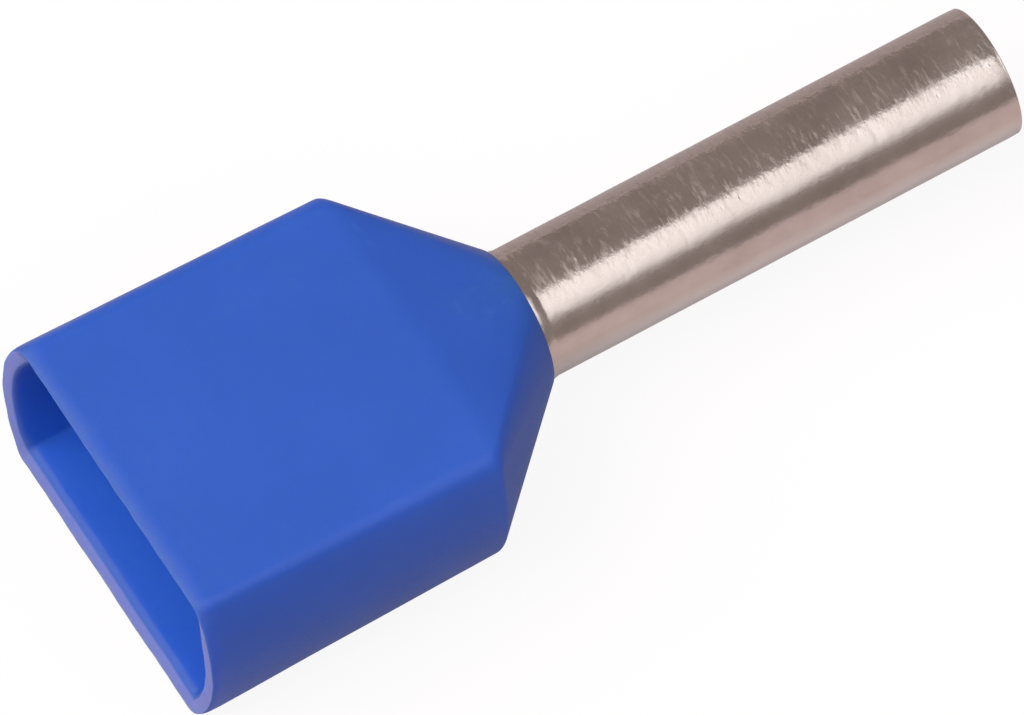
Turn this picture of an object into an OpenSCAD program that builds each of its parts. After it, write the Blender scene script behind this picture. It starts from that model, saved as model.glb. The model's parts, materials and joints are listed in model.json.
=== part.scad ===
// Twin-entry insulated wire ferrule for two 0.75 mm2 conductors: a tinned copper sleeve that is
// crimped on the stripped ends, and a moulded collar that takes both insulated wires side by side.
// +X runs along the sleeve towards its tip, +Y across the two wires, +Z up. The origin is on the
// sleeve's axis, in the plane where the sleeve leaves the collar. All lengths are in millimetres.

/* [Sleeve] */
// Outside diameter of the sleeve
sleeve_d = 2.1; // [1.9:0.05:2.3]
// Thickness of the sleeve's wall
sleeve_wall = 0.15; // [0.1:0.01:0.25]
// Length of sleeve that stands out of the collar
sleeve_len = 8.2; // [6:0.05:12]
// Length of sleeve held inside the collar
seat_len = 0.95; // [0.6:0.05:1.3]
// Rise in radius from the straight sleeve to its flared rear rim
flare_rise = 0.12; // [0.04:0.01:0.16]
// Distance ahead of the collar at which the flare begins
flare_lead = 0.15; // [0:0.05:0.4]
// Radius of the broken outer edge at the sleeve's tip
tip_r = 0.03; // [0.02:0.01:0.09]

/* [Collar] */
// Length of the collar from the wire mouth to the sleeve's exit
collar_len = 7.05; // [5.5:0.05:9]
// Length of the tapered front, from the shoulder to the sleeve's exit
taper_len = 1.9; // [1.6:0.1:2.6]
// Width at the wire mouth
mouth_w = 6.1; // [5.6:0.1:6.8]
// Height at the wire mouth
mouth_h = 3.45; // [3.2:0.05:4]
// Width at the shoulder
shoulder_w = 5.9; // [5.4:0.1:6.6]
// Height at the shoulder
shoulder_h = 3.2; // [3.1:0.05:3.8]
// Wall of the flat top and bottom
flat_wall = 0.35; // [0.25:0.01:0.42]
// Wall of the two rounded ends
end_wall = 0.32; // [0.25:0.01:0.5]
// Wall left around the sleeve at its exit
exit_wall = 0.05; // [0.04:0.01:0.15]
// Radius of the four long edges where the flats meet the rounded ends
crease_r = 0.25; // [0.05:0.05:0.4]
// Radius of the same edges inside the wire mouth
cavity_crease_r = 0.1; // [0.05:0.05:0.3]
// Radius of the outer edge of the mouth's rim
rim_r = 0.12; // [0.05:0.01:0.13]
// Size of the lead-in chamfer inside the mouth's rim
lead_in = 0.1; // [0.04:0.01:0.11]
// Half length of the blend that softens the shoulder
shoulder_blend = 0.08; // [0.02:0.01:0.15]
// Width of the step where the funnel ends round the sleeve's flared rim
funnel_step = 0.04; // [0.02:0.01:0.08]

/* [Fit] */
// Radial clearance between the sleeve and its seat in the collar
seat_gap = 0.02; // [0.01:0.005:0.04]

/* [Hidden] */

// Height of the low pyramids and cones whose bases are the collar's cross-sections
base_h = 0.01;
// How far a cut runs past the face it opens
over = 0.1;
// Steps that round the rim's outer edge, each corner and each end of a cross-section
rim_steps = 3;
corner_steps = 4;
end_steps = 12;
ring_fn = 48;
round_fn = 120;

sleeve_r = sleeve_d / 2;
bore_r = sleeve_r - sleeve_wall;
flare_r = sleeve_r + flare_rise;
flare_len = seat_len + flare_lead;
// Outside radius of the flared sleeve in the plane where it leaves the collar
exit_sleeve_r = sleeve_r + flare_rise * flare_lead / flare_len;
exit_r = exit_sleeve_r + seat_gap + exit_wall;

mouth_x = -collar_len;
shoulder_x = -taper_len;
// Slope of the taper seen from above, and the setback that keeps its wall even round the shoulder
taper_angle = atan((shoulder_w / 2 - exit_r) / taper_len);
cavity_shoulder_x = shoulder_x - end_wall * tan(taper_angle / 2);

// Collar sizes at x, which change evenly from mouth to shoulder and from shoulder to exit
function along_body(x, mouth, shoulder) =
    shoulder + (mouth - shoulder) * (shoulder_x - x) / (collar_len - taper_len);
function along_taper(x, shoulder, exit) = exit + (shoulder - exit) * -x / taper_len;
function body_w(x) = along_body(x, mouth_w, shoulder_w);
function body_h(x) = along_body(x, mouth_h, shoulder_h);
function taper_w(x) = along_taper(x, shoulder_w, 2 * exit_r);
function taper_h(x) = along_taper(x, shoulder_h, 2 * exit_r);

function arc(centre, r, from, to, steps) =
    [for (i = [0 : steps]) let (a = from + (to - from) * i / steps)
        centre + r * [cos(a), sin(a)]];

// Cross-section of the collar: a circle as wide as the collar, cut by two flats, with its four
// corners rounded. One half is drawn, from the bottom flat to the top one, and turned for the other.
module oblong(w, h, corner) {
    rise = h / 2 - corner;
    reach = w / 2 - corner;
    meet = asin(rise / reach);
    corner_y = reach * cos(meet);
    half = concat(arc([corner_y, -rise], corner, -90, -meet, corner_steps),
                  arc([0, 0], w / 2, -meet, meet, end_steps),
                  arc([corner_y, rise], corner, meet, 90, corner_steps));
    polygon(concat(half, -half));
}

// Cross-section in the plane at x, as the base of a low pyramid, for a hull to span
module section(x, w, h, corner) {
    translate([x, 0, 0]) rotate([90, 0, 90])
        linear_extrude(base_h, scale = 0) oblong(w, h, corner);
}

// Round section in the plane at x, as the base of a low cone that points back into the collar
module ring(x, r) {
    translate([x, 0, 0]) rotate([0, -90, 0]) cylinder(h = base_h, r1 = r, r2 = 0, $fn = ring_fn);
}

// Outer form: rounded rim, wedge-shaped body, softened shoulder and taper to the round exit
module collar_form() {
    blend_back = shoulder_x - shoulder_blend;
    blend_front = shoulder_x + shoulder_blend;
    hull() {
        for (i = [0 : rim_steps]) {
            angle = 90 * i / rim_steps;
            x = mouth_x + rim_r * (1 - cos(angle));
            inset = rim_r * (1 - sin(angle));
            section(x, body_w(x) - 2 * inset, body_h(x) - 2 * inset, crease_r);
        }
        section(blend_back, body_w(blend_back), body_h(blend_back), crease_r);
        section(blend_front, taper_w(blend_front), taper_h(blend_front), crease_r);
        ring(0, exit_r);
    }
}

// Section of the wire cavity at x, one wall inside the body
module cavity_section(x, widen) {
    section(x, body_w(x) - 2 * end_wall + 2 * widen, body_h(x) - 2 * flat_wall + 2 * widen,
            cavity_crease_r);
}

// Wire cavity, with a funnel that gathers both conductors towards the sleeve's flared rim
module wire_cavity() {
    hull() {
        cavity_section(mouth_x - over, 0);
        cavity_section(cavity_shoulder_x, 0);
        ring(-seat_len, flare_r + seat_gap + funnel_step);
    }
}

// Chamfer round the inside of the mouth's rim
module mouth_lead_in() {
    hull() {
        cavity_section(mouth_x - over, lead_in + over);
        cavity_section(mouth_x + 2 * lead_in, -lead_in);
    }
}

// Cone in which the sleeve's flare seats
module sleeve_seat() {
    translate([-seat_len - base_h, 0, 0]) rotate([0, 90, 0])
        cylinder(h = flare_len + base_h, r1 = flare_r + seat_gap, r2 = sleeve_r + seat_gap,
                 $fn = round_fn);
}

module collar() {
    color([0.24, 0.38, 0.77])
        difference() {
            collar_form();
            wire_cavity();
            mouth_lead_in();
            sleeve_seat();
        }
}

// Half section of the sleeve, radius across and length along
module sleeve_profile() {
    difference() {
        polygon([
            [flare_r, -seat_len], [sleeve_r, flare_lead], [sleeve_r, sleeve_len],
            [bore_r, sleeve_len], [bore_r, flare_lead], [flare_r - sleeve_wall, -seat_len]
        ]);
        translate([sleeve_r - tip_r, sleeve_len - tip_r])
            difference() {
                square(tip_r + over);
                circle(r = tip_r);
            }
    }
}

module sleeve() {
    color([0.72, 0.69, 0.67])
        rotate([0, 90, 0]) rotate_extrude($fn = round_fn) sleeve_profile($fn = round_fn);
}

collar();
sleeve();
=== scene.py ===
"""Looks of the twin-entry wire ferrule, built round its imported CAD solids.

The collar and the sleeve are each made again as one fine closed mesh on the CAD's dimensions, with the
rounded edges, moulding unevenness and small dents that the plain solids leave out. A mesh is a loft
through rows of points: down the outside, back up the inside and joined to its start. Shapes are worked
out in millimetres and become metres in piece().
"""
import json
import math
import random

import bmesh
import bpy
import numpy as np
from mathutils import Matrix, Vector, noise


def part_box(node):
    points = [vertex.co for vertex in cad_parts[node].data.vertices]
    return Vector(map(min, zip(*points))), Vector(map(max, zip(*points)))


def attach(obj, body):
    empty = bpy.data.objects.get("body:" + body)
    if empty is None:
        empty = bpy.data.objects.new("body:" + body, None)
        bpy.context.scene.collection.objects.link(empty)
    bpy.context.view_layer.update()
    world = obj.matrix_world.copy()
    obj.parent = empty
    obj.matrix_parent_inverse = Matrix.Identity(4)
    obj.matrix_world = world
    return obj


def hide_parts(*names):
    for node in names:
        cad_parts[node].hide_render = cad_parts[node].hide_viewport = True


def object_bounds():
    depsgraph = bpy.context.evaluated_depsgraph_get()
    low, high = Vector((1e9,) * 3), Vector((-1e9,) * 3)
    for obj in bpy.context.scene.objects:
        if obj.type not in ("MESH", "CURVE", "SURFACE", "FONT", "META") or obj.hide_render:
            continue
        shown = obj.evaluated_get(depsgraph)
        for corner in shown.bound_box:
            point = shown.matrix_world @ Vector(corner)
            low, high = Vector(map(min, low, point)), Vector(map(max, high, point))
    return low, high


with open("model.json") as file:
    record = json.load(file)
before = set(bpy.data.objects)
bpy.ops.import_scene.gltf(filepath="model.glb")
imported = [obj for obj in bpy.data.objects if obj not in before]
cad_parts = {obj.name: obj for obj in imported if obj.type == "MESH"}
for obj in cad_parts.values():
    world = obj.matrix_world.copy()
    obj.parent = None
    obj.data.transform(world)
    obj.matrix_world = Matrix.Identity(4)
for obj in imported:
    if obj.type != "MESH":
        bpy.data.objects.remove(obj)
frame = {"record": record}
cad_low, cad_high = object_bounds()

# ---- Dimensions, in millimetres ----

MM = 0.001
collar_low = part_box("collar")[0] / MM
sleeve_low, sleeve_high = (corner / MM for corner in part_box("sleeve"))
mounts = {mount["name"]: mount["dims"] for mount in frame["record"]["mounts"]}

# Sleeve
SLEEVE_R = mounts["sleeve_outside"]["r_mm"]
BORE_R = mounts["conductor_bore"]["r_mm"]
WALL = SLEEVE_R - BORE_R
SLEEVE_LEN = sleeve_high.x
SEAT_LEN = -sleeve_low.x
FLARE_R = sleeve_high.y
FLARE_LEAD = 0.15
EXIT_SLEEVE_R = SLEEVE_R + (FLARE_R - SLEEVE_R) * FLARE_LEAD / (SEAT_LEN + FLARE_LEAD)
# The swell by which the straight sleeve reaches the collar: where it starts, its length and its rise
SWELL_START = 0.03
SWELL_LEN = 0.17
SWELL_RISE = 0.022
# The tip draws in over ROLL_LEN by ROLL_DROP and ends in an edge of radius TIP_R
ROLL_LEN = 0.2
ROLL_DROP = 0.007
TIP_R = 0.012
# Rounding of the rear rim and of the bore's edge at the tip
RIM_END_R = 0.03
# Waviness of the drawn tube, and the dents in it: how many, how near to the collar and the tip, and
# the least and most that a dent takes along the tube, round it and in depth
WAVINESS, WAVE_SCALE = 0.0022, 1.3
DENTS = 90
DENT_FROM, DENT_TO = 0.4, SLEEVE_LEN - 0.3
DENT_LENGTHS = 0.03, 0.06
DENT_BREADTHS = 0.05, 0.14
DENT_DEPTHS = 0.001, 0.004

# Collar
COLLAR_LEN = -collar_low.x
TAPER_LEN = 1.9
MOUTH_W, MOUTH_H = 6.1, 3.45
SHOULDER_W, SHOULDER_H = 5.9, 3.08
FLAT_WALL = 0.35
END_WALL = 0.32
EXIT_WALL = 0.05
MOUTH_CREASE_R = 0.25
SHOULDER_CREASE_R = 0.4
CAVITY_CREASE_R = 0.1
# The rim: how far back and how deep its outer edge rolls in, and how far its face leans back towards
# the cavity, each along the flats and round the ends; then the rounding of its inner edge
RIM_ROLL = 0.3, 0.14
RIM_DROP = 0.08, 0.045
RIM_LEAN = 0.12, 0.01
LEAD_IN = 0.12
FUNNEL_STEP = 0.04
SEAT_GAP = 0.02
EXIT_R = EXIT_SLEEVE_R + SEAT_GAP + EXIT_WALL
# Rounding of the thin lip round the exit
LIP_R = 0.02
# Half length of the shoulder's blend on the flats, and round the two ends
FLAT_BLEND = 0.2
END_BLEND = 0.035
CAVITY_BLEND = 0.12

# Sink of the moulded walls and unevenness of the rim, in millimetres and in waves to the millimetre,
# and how far back from the mouth the rim's unevenness reaches
SINK, SINK_SCALE = 0.005, 0.7
FLAW, FLAW_SCALE = 0.012, 3.1
FLAW_REACH = 0.25

MOUTH_X = -COLLAR_LEN
SHOULDER_X = -TAPER_LEN
BODY_LEN = COLLAR_LEN - TAPER_LEN
# How far the shoulder's line lies from its plane, along the flats and round the ends
SHOULDER_AHEAD = 0.1, 0.0
TAPER_ANGLE = math.atan((SHOULDER_W / 2 - EXIT_R) / TAPER_LEN)
CAVITY_SHOULDER_X = SHOULDER_X - END_WALL * math.tan(TAPER_ANGLE / 2)

# ---- Fineness of the meshes ----

# Points along half an outline, and the angle that a flat takes up where it runs into a ring
FLAT_STEPS = 28
CORNER_STEPS = 10
END_STEPS = 28
FLAT_SPREAD = math.radians(21)
# Rows of the collar's outside, from the rim's rolled edge to the lip
ROLL_ROWS, BODY_ROWS, SHOULDER_ROWS, TAPER_ROWS, LIP_ROWS = 12, 48, 10, 30, 4
# Rows of its inside, from the seat to the rim's face
SEAT_ROWS, FUNNEL_ROWS, BEND_ROWS, CAVITY_ROWS, LEAD_ROWS, FACE_ROWS = 6, 16, 6, 44, 8, 5
# Points round the sleeve, and the rows of its parts
SLEEVE_POINTS = 192
SLEEVE_ROWS = 250
FLARE_ROWS, SWELL_ROWS, BORE_ROWS, REAR_ROWS = 16, 12, 40, 12
EDGE_ANGLES = [math.pi / 2 * i / 6 for i in range(7)]
# Edges sharper than this aren't smoothed
SHARP_ANGLE = math.radians(32)


# ---- Outlines and lofts ----

def arc(centre_y, centre_z, radius, start, end, steps):
    """Points of an arc in the YZ plane, without its last point."""
    angles = np.linspace(start, end, steps, endpoint=False)
    return np.column_stack([centre_y + radius * np.cos(angles), centre_z + radius * np.sin(angles)])


def whole(half, x):
    """Closed outline in the plane at x, from its half on the +Y side."""
    flat = np.vstack([half, -half])
    return np.column_stack([np.full(len(flat), x), flat])


def corner_centre(width, height, corner):
    """Centre of an outline's rounded corner, and the angle at which the corner meets the end."""
    rise = height / 2 - corner
    meet = math.asin(rise / (width / 2 - corner))
    return (width / 2 - corner) * math.cos(meet), rise, meet


def section(x, width, height, corner):
    """The collar's outline in the plane at x: a circle cut by two flats, with rounded corners."""
    corner_y, rise, meet = corner_centre(width, height, corner)
    out = np.linspace(0, corner_y, FLAT_STEPS, endpoint=False)
    back = np.linspace(corner_y, 0, FLAT_STEPS, endpoint=False)
    return whole(np.vstack([
        np.column_stack([out, np.full(FLAT_STEPS, -height / 2)]),
        arc(corner_y, -rise, corner, -math.pi / 2, -meet, CORNER_STEPS),
        arc(0, 0, width / 2, -meet, meet, END_STEPS),
        arc(corner_y, rise, corner, meet, math.pi / 2, CORNER_STEPS),
        np.column_stack([back, np.full(FLAT_STEPS, height / 2)]),
    ]), x)


def ring(x, radius, meet):
    """A circle in the plane at x with its points placed to match those of a section.

    They spread slowly where a flat ends and its corner starts, so that no crease runs on to the ring.
    """
    corner_spread = math.pi / 2 - FLAT_SPREAD - meet
    out, turn = np.arange(FLAT_STEPS) / FLAT_STEPS, np.arange(CORNER_STEPS) / CORNER_STEPS
    first = np.concatenate([
        math.pi / 2 - FLAT_SPREAD * out ** 3,
        meet + corner_spread * (1 - 0.2 * turn - 0.8 * turn ** 2),
    ])
    last = np.append(first[1:], meet)[::-1]
    angles = np.concatenate([-first, np.linspace(-meet, meet, END_STEPS, endpoint=False), last])
    return whole(radius * np.column_stack([np.cos(angles), np.sin(angles)]), x)


def between(start, end, steps):
    """Outlines that run evenly from one outline to another, without the last."""
    return [start + (end - start) * i / steps for i in range(steps)]


def bend(start, corner, end, steps):
    """Outlines along a curve that leaves start towards corner and arrives at end, without the last."""
    shares = [i / steps for i in range(steps)]
    return [start * (1 - t) ** 2 + corner * 2 * t * (1 - t) + end * t ** 2 for t in shares]


def loft(rows):
    """Vertices and quads of the closed surface through the rows, the last joined to the first."""
    count = len(rows[0])
    faces = [
        (i * count + j, i * count + (j + 1) % count,
         (i + 1) % len(rows) * count + (j + 1) % count, (i + 1) % len(rows) * count + j)
        for i in range(len(rows)) for j in range(count)
    ]
    return np.vstack(rows), faces


def piece(name, points, faces, shift, material):
    """A mesh object from points in millimetres, moved along their normals by shift(points)."""
    mesh = bpy.data.meshes.new(name)
    mesh.from_pydata(points.tolist(), [], faces)
    normals = np.array([vertex.normal for vertex in mesh.vertices])
    points = (points + normals * shift(points)[:, None]) * MM
    mesh.vertices.foreach_set("co", points.ravel())
    edit = bmesh.new()
    edit.from_mesh(mesh)
    bmesh.ops.recalc_face_normals(edit, faces=edit.faces)
    edit.to_mesh(mesh)
    edit.free()
    mesh.shade_smooth()
    mesh.set_sharp_from_angle(angle=SHARP_ANGLE)
    mesh.materials.append(material)
    made = bpy.data.objects.new(name, mesh)
    bpy.context.scene.collection.objects.link(made)
    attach(made, "root")
    return made


# ---- Collar ----

def body_size(x):
    """Width and height of the collar's body at x."""
    share = (SHOULDER_X - x) / BODY_LEN
    return SHOULDER_W + (MOUTH_W - SHOULDER_W) * share, SHOULDER_H + (MOUTH_H - SHOULDER_H) * share


def body_section(x, inset=0.0):
    """The body's outline at x, or one that lies inset within it."""
    width, height = body_size(x)
    crease = SHOULDER_CREASE_R + (MOUTH_CREASE_R - SHOULDER_CREASE_R) * (SHOULDER_X - x) / BODY_LEN
    return section(x, width - 2 * inset, height - 2 * inset, crease)


def cavity_section(x):
    """The cavity's outline at x, inside walls of one thickness on the flats and one round the ends."""
    width, height = body_size(x)
    return section(x, width - 2 * END_WALL, height - 2 * FLAT_WALL, CAVITY_CREASE_R)


def round_outline(outline, flat_and_end):
    """A value for each point of an outline: the first on its flats, the second round its ends."""
    on_flat, on_end = flat_and_end
    height = np.abs(outline[:, 2:])
    return on_end + (on_flat - on_end) * (height / height.max()) ** 4


def rim_edge():
    """The foremost outline of the rim, from which its face leans back."""
    mouth = body_section(MOUTH_X)
    return mouth + (body_section(MOUTH_X, 1) - mouth) * round_outline(mouth, RIM_DROP)


def cavity_outline(depth):
    """The cavity's outline at a depth behind the mouth's plane, given for each point."""
    mouth = cavity_section(MOUTH_X)
    return mouth + (cavity_section(MOUTH_X + 1) - mouth) * depth


def collar_outside():
    """Rows from the rim over the body and the soft shoulder to the lip round the exit."""
    meet = corner_centre(SHOULDER_W, SHOULDER_H, SHOULDER_CREASE_R)[2]
    mouth = body_section(MOUTH_X)
    shoulder = body_section(SHOULDER_X)
    shoulder += (shoulder - mouth) * round_outline(shoulder, SHOULDER_AHEAD) / BODY_LEN
    lip = ring(0, EXIT_R, meet)
    flatness = np.abs(lip[:, 2:] / EXIT_R)
    blend = END_BLEND + (FLAT_BLEND - END_BLEND) * flatness ** 2
    rim_end = mouth + (shoulder - mouth) * round_outline(mouth, RIM_ROLL) / BODY_LEN
    body_end = shoulder + (mouth - shoulder) * blend / BODY_LEN
    taper_start = shoulder + (lip - shoulder) * blend / TAPER_LEN
    taper_end = lip + (shoulder - lip) * LIP_R / TAPER_LEN
    return [
        *bend(rim_edge(), mouth, rim_end, ROLL_ROWS),
        *between(rim_end, body_end, BODY_ROWS),
        *bend(body_end, shoulder, taper_start, SHOULDER_ROWS),
        *between(taper_start, taper_end, TAPER_ROWS),
        *bend(taper_end, lip, ring(0, EXIT_R - LIP_R, meet), LIP_ROWS),
    ]


def collar_inside():
    """Rows from the exit back through the sleeve's seat, the funnel and the cavity to the rim."""
    meet = corner_centre(SHOULDER_W, SHOULDER_H, SHOULDER_CREASE_R)[2]
    width, height = body_size(CAVITY_SHOULDER_X)
    cavity_meet = corner_centre(width - 2 * END_WALL, height - 2 * FLAT_WALL, CAVITY_CREASE_R)[2]
    seat_front = ring(0, EXIT_SLEEVE_R + SEAT_GAP, meet)
    seat_back = ring(-SEAT_LEN, FLARE_R + SEAT_GAP, meet)
    funnel = ring(-SEAT_LEN, FLARE_R + SEAT_GAP + FUNNEL_STEP, cavity_meet)
    shoulder = cavity_section(CAVITY_SHOULDER_X)
    funnel_len = -SEAT_LEN - CAVITY_SHOULDER_X
    funnel_end = shoulder + (funnel - shoulder) * CAVITY_BLEND / funnel_len
    cavity_start = cavity_section(CAVITY_SHOULDER_X - CAVITY_BLEND)
    lean = round_outline(cavity_start, RIM_LEAN)
    cavity_end = cavity_outline(lean + LEAD_IN)
    face_end = cavity_outline(lean)
    face_start = face_end + (rim_edge() - face_end) * LEAD_IN / END_WALL
    return [
        *between(ring(0, EXIT_R - LIP_R, meet), seat_front, 2),
        *between(seat_front, seat_back, SEAT_ROWS),
        *between(seat_back, funnel, 1),
        *between(funnel, funnel_end, FUNNEL_ROWS),
        *bend(funnel_end, shoulder, cavity_start, BEND_ROWS),
        *between(cavity_start, cavity_end, CAVITY_ROWS),
        *bend(cavity_end, face_end, face_start, LEAD_ROWS),
        *between(face_start, rim_edge(), FACE_ROWS),
    ]


def moulding(points):
    """Sink of the moulded walls, with a slightly uneven rim. The seat and the exit stay true."""
    shifts = []
    for x, y, z in points:
        place = Vector((x, y, z))
        clear = min(max(-x / TAPER_LEN, 0), 1)
        rim = max(1 - (x - MOUTH_X) / FLAW_REACH, 0)
        sink = SINK * clear * (1 + noise.noise(place * SINK_SCALE)) * (1 - rim)
        flaw = FLAW * rim * (1 + noise.noise(place * FLAW_SCALE))
        shifts.append(-sink - flaw)
    return np.array(shifts)


# ---- Sleeve ----

def sleeve_outside():
    """(x, radius) from the flared rear rim to the tip, without the tip's edge."""
    flare_x = np.linspace(-SEAT_LEN + RIM_END_R, 0, FLARE_ROWS)
    slope = (FLARE_R - SLEEVE_R - SWELL_RISE) / SEAT_LEN
    flare = [(x, SLEEVE_R + SWELL_RISE - slope * x) for x in flare_x]
    swell_r = SLEEVE_R + SWELL_RISE
    swell_end = SWELL_START + SWELL_LEN
    roll_start = SLEEVE_LEN - ROLL_LEN
    shares = [i / SWELL_ROWS for i in range(SWELL_ROWS)]
    swell = [
        (SWELL_START + SWELL_LEN * t, swell_r + (SLEEVE_R - swell_r) * t * t * (3 - 2 * t))
        for t in shares
    ]
    straight = [(x, SLEEVE_R) for x in np.linspace(swell_end, roll_start, SLEEVE_ROWS, endpoint=False)]
    roll = [(roll_start + (ROLL_LEN - TIP_R) * t, SLEEVE_R - ROLL_DROP * t * t) for t in shares]
    return flare + swell + straight + roll


def sleeve_profile():
    """(x, radius) all the way round the sleeve's wall."""
    tip_r = SLEEVE_R - ROLL_DROP
    tip = [
        (SLEEVE_LEN - TIP_R * (1 - math.sin(angle)), tip_r - TIP_R * (1 - math.cos(angle)))
        for angle in EDGE_ANGLES
    ]
    bore_edge = [
        (SLEEVE_LEN - RIM_END_R * (1 - math.cos(angle)), BORE_R + RIM_END_R * (1 - math.sin(angle)))
        for angle in EDGE_ANGLES
    ]
    bore = [(x, BORE_R) for x in np.linspace(SLEEVE_LEN - RIM_END_R * 2, FLARE_LEAD, BORE_ROWS)]
    rear_r = FLARE_R - WALL
    rear_slope = (rear_r - BORE_R) / (SEAT_LEN + FLARE_LEAD)
    flare = [
        (x, BORE_R + rear_slope * (FLARE_LEAD - x))
        for x in np.linspace(0, -SEAT_LEN + RIM_END_R, REAR_ROWS)
    ]
    rear = [(-SEAT_LEN, rear_r + RIM_END_R), (-SEAT_LEN, FLARE_R - RIM_END_R)]
    return sleeve_outside() + tip + bore_edge + bore + flare + rear


def turned(x, radius):
    """Circle of the sleeve's points in the plane at x."""
    angles = np.linspace(-math.pi / 2, 1.5 * math.pi, SLEEVE_POINTS, endpoint=False)
    return np.column_stack([np.full(SLEEVE_POINTS, x), radius * np.cos(angles), radius * np.sin(angles)])


def handling(points):
    """Slight unevenness of the drawn tube, with small seeded dents from handling."""
    rng = random.Random(5)
    x, angle = points[:, 0], np.arctan2(points[:, 2], points[:, 1])
    outside = np.hypot(points[:, 1], points[:, 2]) > SLEEVE_R - ROLL_DROP
    waves = [1 + noise.noise(Vector(point) * WAVE_SCALE) for point in points.tolist()]
    shift = -WAVINESS * np.array(waves)
    for _ in range(DENTS):
        at_x, at_angle = rng.uniform(DENT_FROM, DENT_TO), rng.uniform(-math.pi, math.pi)
        length, breadth = rng.uniform(*DENT_LENGTHS), rng.uniform(*DENT_BREADTHS)
        depth = rng.uniform(*DENT_DEPTHS)
        across = SLEEVE_R * (np.mod(angle - at_angle + math.pi, 2 * math.pi) - math.pi)
        shift -= depth * np.exp(-((x - at_x) / length) ** 2 - (across / breadth) ** 2)
    return np.where(outside & (x > FLARE_LEAD), shift, 0.0)


# ---- Materials ----

# Linear colours of the plastic: its two clouded tones, scuffs and edges (wear, with a painted highlight
# on the creases), the painted sheen near the rim, the cavity's painted bounce light and the rim face's
# painted sheen
BLUE_DEEP = 0.026, 0.112, 0.545, 1
BLUE_PALE = 0.031, 0.124, 0.590, 1
BLUE_WEAR_AND_HIGHLIGHT = 0.16, 0.28, 0.76, 1
BLUE_RIM_SHEEN = 0.045, 0.118, 0.44, 1
BLUE_PAINTED_BOUNCE = 0.015, 0.120, 0.63, 1
BLUE_RIM_FACE_SHEEN = 0.18, 0.22, 0.61, 1
BLUE_SHEEN = 1.0, 0.70, 0.74, 1
# The tin: its two clouded tones, nicks and edges (wear, with painted glints), the painted shade of the
# far side and the painted reflection on the underside
TIN_DEEP = 0.70, 0.572, 0.518, 1
TIN_PALE = 0.84, 0.702, 0.642, 1
TIN_WEAR_AND_GLINT = 0.93, 0.86, 0.82, 1
TIN_PAINTED_SHADE = 0.47, 0.40, 0.37, 1
TIN_PAINTED_REFLECTION = 0.96, 0.89, 0.84, 1
# The floor: its paper, how brightly it glows to the camera, the share of that in reflections, and the
# share of the plain lit paper that keeps the shadows in view
PAPER = 0.46, 0.385, 0.40, 1
FLOOR_GLOW = 1.2
FLOOR_MIRRORED = 0.18
FLOOR_SHADE = 0.25

# Where the rim's matt roughness and painted sheen fade out behind the mouth's plane, in millimetres
RIM_FADE = 0.1, 0.4
# X of the normals between which the rim's rounding, and then its face, take their painted sheen; the
# rounding is also made matt
ROUNDING_AHEAD = -0.02, -0.3
FACE_AHEAD = -0.74, -0.9
# Heights between which the painted sheen of the rim's face gets weaker on the upper flat
UPPER_FLAT = 1.3, 1.5
# Where the cavity's painted bounce light ends: |Z| on its flats, radius on its round ends, and X in its
# depth
CAVITY_FLATS = 1.41, 1.47
CAVITY_ENDS = 2.78, 2.86
CAVITY_DEPTH = -2.3, -2.0

# The tin's sides: Y where the far side starts to be rubbed, and to take its painted shade, Z where the
# underside takes its painted reflection, and Y where the matt strip of the near side starts and ends
RUBBED_SIDE = -0.5, -0.2
FAR_SIDE_PAINTED_SHADE = 0.52, 0.64
UNDERSIDE_PAINTED_REFLECTION = 0.0, 0.28
MATT_FROM = -0.82, -0.64
MATT_TO = -0.6, -0.3


def add_node(tree, kind, inputs, **settings):
    """A shader node, its inputs given as values or as the sockets to link to them."""
    node = tree.nodes.new("ShaderNode" + kind)
    for key, value in settings.items():
        setattr(node, key, value)
    for key, value in inputs.items():
        if isinstance(value, bpy.types.NodeSocket):
            tree.links.new(value, node.inputs[key])
        else:
            node.inputs[key].default_value = value
    return node


def new_material(name):
    """A material, its node tree and its Principled shader."""
    material = bpy.data.materials.new(name)
    material.use_nodes = True
    return material, material.node_tree, material.node_tree.nodes["Principled BSDF"]


def position_in_mm(tree, stretch=(1, 1, 1)):
    """The surface point in millimetres, stretched along the axes."""
    place = add_node(tree, "TexCoord", {})
    scale = tuple(factor / MM for factor in stretch)
    return add_node(tree, "Mapping", {"Vector": place.outputs["Object"], "Scale": scale}).outputs[0]


def noise_value(tree, place, scale, detail=2.0, roughness=0.5):
    """Cloudy noise with scale waves to the millimetre."""
    inputs = {"Vector": place, "Scale": scale, "Detail": detail, "Roughness": roughness}
    return add_node(tree, "TexNoise", inputs).outputs["Fac"]


def ranged(tree, value, low, high, new_low=0.0, new_high=1.0):
    """value mapped from low..high to new_low..new_high, and kept within them."""
    inputs = {"Value": value, "From Min": low, "From Max": high, "To Min": new_low, "To Max": new_high}
    return add_node(tree, "MapRange", inputs).outputs["Result"]


def colour_mix(tree, share, first, second):
    """The first colour with a share of the second. The node's colours are inputs 6 and 7 and output 2."""
    return add_node(tree, "Mix", {0: share, 6: first, 7: second}, data_type="RGBA").outputs[2]


def math_node(tree, operation, first, second=0.0):
    """Result of a sum on one or two values."""
    return add_node(tree, "Math", {0: first, 1: second}, operation=operation).outputs[0]


def product(tree, first, second):
    """Product of two values."""
    return math_node(tree, "MULTIPLY", first, second)


def axis(tree, vector, name):
    """One of a vector's parts, by its name X, Y or Z."""
    return add_node(tree, "SeparateXYZ", {"Vector": vector}).outputs[name]


def edge_share(tree, low, high):
    """0 to 1 as an edge gets sharper between two values of its pointiness."""
    return ranged(tree, add_node(tree, "NewGeometry", {}).outputs["Pointiness"], low, high)


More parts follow.
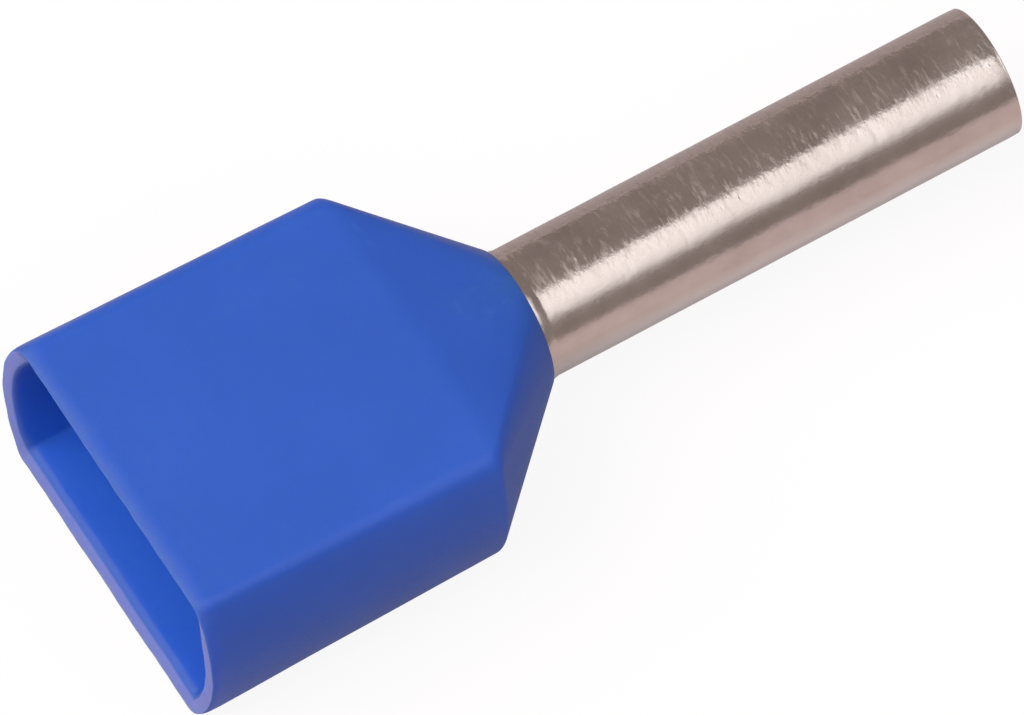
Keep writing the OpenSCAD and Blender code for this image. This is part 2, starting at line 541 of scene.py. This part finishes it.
def bumped(tree, layers):
    """A normal bumped by (height, depth in millimetres) layers, one on top of another."""
    normal = None
    for height, depth in layers:
        inputs = {"Height": height, "Distance": depth * MM, "Strength": 1.0}
        if normal is not None:
            inputs["Normal"] = normal
        normal = add_node(tree, "Bump", inputs).outputs["Normal"]
    return normal


def dress(tree, shader, colour, roughness, bumps):
    """Links what varies over the surface to the shader."""
    tree.links.new(colour, shader.inputs["Base Color"])
    tree.links.new(roughness, shader.inputs["Roughness"])
    tree.links.new(bumped(tree, bumps), shader.inputs["Normal"])


def rim_matt_and_sheen_share(tree, place):
    """1 on the rim and its rounding, fading out behind them and on what doesn't face ahead: there the rim
    is matt and gets a painted sheen.
    """
    near = ranged(tree, axis(tree, place, "X"), MOUTH_X + RIM_FADE[0], MOUTH_X + RIM_FADE[1], 1, 0)
    ahead = axis(tree, add_node(tree, "NewGeometry", {}).outputs["Normal"], "X")
    return product(tree, near, ranged(tree, ahead, *ROUNDING_AHEAD))


def rim_face_sheen_share(tree, place):
    """1 on the rim's face, which gets a lavender painted sheen, and less on that of the upper flat."""
    ahead = axis(tree, add_node(tree, "NewGeometry", {}).outputs["Normal"], "X")
    face_sheen_by_height = ranged(tree, axis(tree, place, "Z"), *UPPER_FLAT, 1, 0.25)
    return product(tree, ranged(tree, ahead, *FACE_AHEAD), face_sheen_by_height)


def cavity_painted_bounce_share(tree, place):
    """1 on the cavity's walls, where painted bounce light, shining from wall to wall, deepens the blue,
    and 0 outside.
    """
    height = math_node(tree, "ABSOLUTE", axis(tree, place, "Z"))
    radius = add_node(tree, "VectorMath", {0: position_in_mm(tree, (0, 1, 1))}, operation="LENGTH")
    share = product(tree, ranged(tree, height, *CAVITY_FLATS, 1, 0),
                    ranged(tree, radius.outputs["Value"], *CAVITY_ENDS, 1, 0))
    return product(tree, share, ranged(tree, axis(tree, place, "X"), *CAVITY_DEPTH, 1, 0))


def plastic_colour(tree, place, clouds, scuffs, rim_matt_and_sheen):
    """Clouded blue, paler on scuffs and edges (wear, with a painted highlight on the creases), with
    painted bounce light in the cavity and painted sheen at the rim.
    """
    # Scuffs and edges turn paler: wear, and on the edges also a painted crease highlight.
    wear_and_highlight = math_node(tree, "MAXIMUM", product(tree, edge_share(tree, 0.53, 0.62), 0.06),
                     product(tree, scuffs, 0.05))
    colour = colour_mix(tree, ranged(tree, clouds, 0.3, 0.7), BLUE_DEEP, BLUE_PALE)
    colour = colour_mix(tree, wear_and_highlight, colour, BLUE_WEAR_AND_HIGHLIGHT)
    # The cavity's walls get a deeper, brighter blue: painted bounce light.
    colour = colour_mix(tree, cavity_painted_bounce_share(tree, place), colour, BLUE_PAINTED_BOUNCE)
    # The rim's rounding gets a redder, duller blue: painted sheen.
    colour = colour_mix(tree, product(tree, rim_matt_and_sheen, 0.8), colour, BLUE_RIM_SHEEN)
    # The rim's face gets a lavender tone, weaker on the upper flat: painted sheen.
    return colour_mix(tree, product(tree, rim_matt_and_sheen, rim_face_sheen_share(tree, place)), colour, BLUE_RIM_FACE_SHEEN)


def moulded_plastic():
    """Satin blue plastic: faint flow clouds, a fine moulded grain, hairline scuffs and a matt rim."""
    material, tree, shader = new_material("collar_plastic")
    place = position_in_mm(tree)
    clouds = noise_value(tree, place, 0.45, detail=3)
    grain = noise_value(tree, place, 22, detail=3, roughness=0.6)
    scuff_noise = noise_value(tree, position_in_mm(tree, (2.5, 16, 16)), 1.6, detail=3, roughness=0.6)
    scuffs = ranged(tree, scuff_noise, 0.69, 0.80)
    rim_matt_and_sheen = rim_matt_and_sheen_share(tree, place)
    roughness = math_node(tree, "ADD", ranged(tree, grain, 0.3, 0.7, 0.40, 0.50),
                          product(tree, scuffs, 0.08))
    roughness = math_node(tree, "ADD", roughness, product(tree, rim_matt_and_sheen, 0.22))
    colour = plastic_colour(tree, place, clouds, scuffs, rim_matt_and_sheen)
    dress(tree, shader, colour, roughness, [(clouds, 0.02), (grain, 0.0016), (scuffs, 0.0012)])
    shader.inputs["IOR"].default_value = 1.5
    shader.inputs["Subsurface Weight"].default_value = 0.7
    shader.inputs["Subsurface Radius"].default_value = (0.12, 0.35, 1.0)
    shader.inputs["Subsurface Scale"].default_value = 0.55 * MM
    shader.inputs["Sheen Weight"].default_value = 0.03
    shader.inputs["Sheen Roughness"].default_value = 0.4
    shader.inputs["Sheen Tint"].default_value = BLUE_SHEEN
    return material


def tin_nicks_and_glints(tree):
    """0 to 1 into small round nicks, strewn thinly over the tin: bumped, and painted pale as wear and as
    painted glints.
    """
    cells = add_node(tree, "TexVoronoi", {"Vector": position_in_mm(tree, (5.5, 3, 3)), "Scale": 1.0})
    depth = ranged(tree, cells.outputs["Distance"], 0.0, 0.16, 1, 0)
    return product(tree, depth, math_node(tree, "GREATER_THAN", cells.outputs["Color"], 0.62))


def tin_colour(tree, place, clouds, nicks_and_glints):
    """Clouded tin, paler on edges and in nicks (wear and painted glints), with painted shade along the
    far side and a painted reflection underneath.
    """
    # Edges and nicks turn paler: wear, with painted glints.
    wear_and_highlight = math_node(tree, "MAXIMUM", product(tree, edge_share(tree, 0.52, 0.62), 0.5),
                     product(tree, nicks_and_glints, 0.5))
    colour = colour_mix(tree, ranged(tree, clouds, 0.3, 0.7), TIN_DEEP, TIN_PALE)
    colour = colour_mix(tree, wear_and_highlight, colour, TIN_WEAR_AND_GLINT)
    # The far side, +Y, gets darker: painted shade.
    far_side_painted_shade = ranged(tree, axis(tree, place, "Y"), *FAR_SIDE_PAINTED_SHADE, 0, 0.8)
    # The underside gets brighter: a painted reflection.
    underside_painted_reflection = ranged(tree, axis(tree, place, "Z"), *UNDERSIDE_PAINTED_REFLECTION, 0.8, 0)
    return colour_mix(tree, underside_painted_reflection, colour_mix(tree, far_side_painted_shade, colour, TIN_PAINTED_SHADE), TIN_PAINTED_REFLECTION)


def tin_roughness(tree, place, clouds, rubbed):
    """Cloudy, with streaks on the rubbed side and a matt strip along the near side."""
    streak_noise = noise_value(tree, position_in_mm(tree, (15, 3.5, 3.5)), 1, detail=2, roughness=0.6)
    streaks = product(tree, ranged(tree, streak_noise, 0.50, 0.68), rubbed)
    across = axis(tree, place, "Y")
    matt = product(tree, ranged(tree, across, *MATT_TO, 0.1, 0), ranged(tree, across, *MATT_FROM))
    roughness = math_node(tree, "ADD", ranged(tree, clouds, 0.3, 0.75, 0.18, 0.24),
                          product(tree, streaks, 0.16))
    return math_node(tree, "ADD", roughness, matt)


def tinned_copper():
    """Satin tin plate, with ripples and streaks on the rubbed far side, +Y, and nicks that are bumped and
    painted pale (wear and painted glints).
    """
    material, tree, shader = new_material("tinned_copper")
    place = position_in_mm(tree)
    clouds = noise_value(tree, place, 1.1, detail=5, roughness=0.6)
    orange_peel = noise_value(tree, place, 5.5, detail=3, roughness=0.6)
    rubbed = ranged(tree, axis(tree, place, "Y"), *RUBBED_SIDE)
    ripples = noise_value(tree, position_in_mm(tree, (10, 4, 4)), 1, detail=3, roughness=0.55)
    ripples = product(tree, math_node(tree, "SUBTRACT", ripples, 0.5), rubbed)
    nicks_and_glints = tin_nicks_and_glints(tree)
    colour = tin_colour(tree, place, clouds, nicks_and_glints)
    roughness = tin_roughness(tree, place, clouds, rubbed)
    dress(tree, shader, colour, roughness, [(ripples, 0.009), (orange_peel, 0.0045), (nicks_and_glints, -0.002)])
    shader.inputs["Metallic"].default_value = 1.0
    return material


def floor_white():
    """White floor that glows to the camera, less in reflections, and keeps a shade of its shadows."""
    material, tree, shader = new_material("floor_white")
    tree.nodes.remove(shader)
    paper = add_node(tree, "BsdfDiffuse", {"Color": PAPER})
    glow = add_node(tree, "Emission", {"Color": (1, 1, 1, 1), "Strength": FLOOR_GLOW})
    path = add_node(tree, "LightPath", {})
    mirrored = product(tree, path.outputs["Is Glossy Ray"], FLOOR_MIRRORED)
    seen = math_node(tree, "MAXIMUM", path.outputs["Is Camera Ray"], mirrored)
    seen = math_node(tree, "MAXIMUM", seen, path.outputs["Is Transmission Ray"])
    share = product(tree, seen, 1 - FLOOR_SHADE)
    mix = add_node(tree, "MixShader", {0: share, 1: paper.outputs[0], 2: glow.outputs[0]})
    tree.links.new(mix.outputs[0], tree.nodes["Material Output"].inputs["Surface"])
    return material


# ---- The two pieces ----

collar = piece("moulded_collar", *loft(collar_outside() + collar_inside()), moulding, moulded_plastic())
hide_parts("collar")

sleeve_rows = [turned(x, radius) for x, radius in sleeve_profile()]
sleeve = piece("tinned_sleeve", *loft(sleeve_rows), handling, tinned_copper())
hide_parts("sleeve")


# ---- Studio, in metres ----

def direction(azimuth, elevation):
    """Unit vector towards a place: azimuth 0 is the -Y side and 90 the +X side, in degrees."""
    turn, lift = math.radians(azimuth), math.radians(elevation)
    return Vector((math.sin(turn) * math.cos(lift), -math.cos(turn) * math.cos(lift), math.sin(lift)))


def facing(location, target, lean=0.0):
    """World matrix that looks from location at target, rolled by lean degrees."""
    away = (target - location).normalized()
    turn = away.to_track_quat("-Z", "Y").to_matrix() @ Matrix.Rotation(math.radians(lean), 3, "Z")
    return Matrix.Translation(location) @ turn.to_4x4()


def area_light(name, location, target, size, watts, colour):
    """A soft rectangular lamp whose long side stays level, unseen by the camera."""
    data = bpy.data.lights.new(name, "AREA")
    data.shape = "RECTANGLE"
    data.size, data.size_y = size
    data.energy = watts
    data.color = colour
    lamp = bpy.data.objects.new(name, data)
    bpy.context.scene.collection.objects.link(lamp)
    lamp.matrix_world = facing(Vector(location), Vector(target))
    lamp.visible_camera = False


# Floor under the lowest point, wide enough to fill low views
FLOOR_SIZE = 4.0
floor_mesh = bpy.data.meshes.new("floor")
edit = bmesh.new()
bmesh.ops.create_grid(edit, x_segments=1, y_segments=1, size=FLOOR_SIZE / 2)
edit.to_mesh(floor_mesh)
edit.free()
floor_mesh.materials.append(floor_white())
floor = bpy.data.objects.new("floor", floor_mesh)
bpy.context.scene.collection.objects.link(floor)
floor.location.z = cad_low.z

# A softbox that runs along the sleeve, above its near side
area_light(
    "long_softbox", location=(-0.1425, -0.162, 0.31), target=(-0.1425, 0, 0),
    size=(0.595, 0.29), watts=0.64, colour=(0.92, 1.0, 1.05),
)
# A second one before the wire mouth
area_light(
    "mouth_softbox", location=(-0.30, 0.12, 0.38), target=(0, 0, 0),
    size=(0.45, 0.4), watts=2.25, colour=(1.0, 0.99, 0.93),
)

# Dim warm surroundings, which the tin shows as its dark bands
world = bpy.data.worlds.new("studio")
world.use_nodes = True
backdrop = world.node_tree.nodes["Background"]
backdrop.inputs["Color"].default_value = (0.245, 0.225, 0.22, 1)
backdrop.inputs["Strength"].default_value = 1.0
bpy.context.scene.world = world

# Camera: a long lens high over the mouth's near corner, leaning a little.
CAMERA_AZIMUTH = -34.31
CAMERA_ELEVATION = 62.44
CAMERA_LEAN = 3.43
CAMERA_DISTANCE = 0.4213
CAMERA_LENS = 1000.0
# The point that the middle of the frame looks at
AIM = Vector((-0.296, -0.421, -0.268)) * MM

camera_data = bpy.data.cameras.new("camera")
camera_data.lens = CAMERA_LENS
camera = bpy.data.objects.new("camera", camera_data)
bpy.context.scene.collection.objects.link(camera)
camera_place = AIM + direction(CAMERA_AZIMUTH, CAMERA_ELEVATION) * CAMERA_DISTANCE
camera.matrix_world = facing(camera_place, AIM, CAMERA_LEAN)
bpy.context.scene.camera = camera

bpy.context.scene.view_settings.view_transform = "Standard"
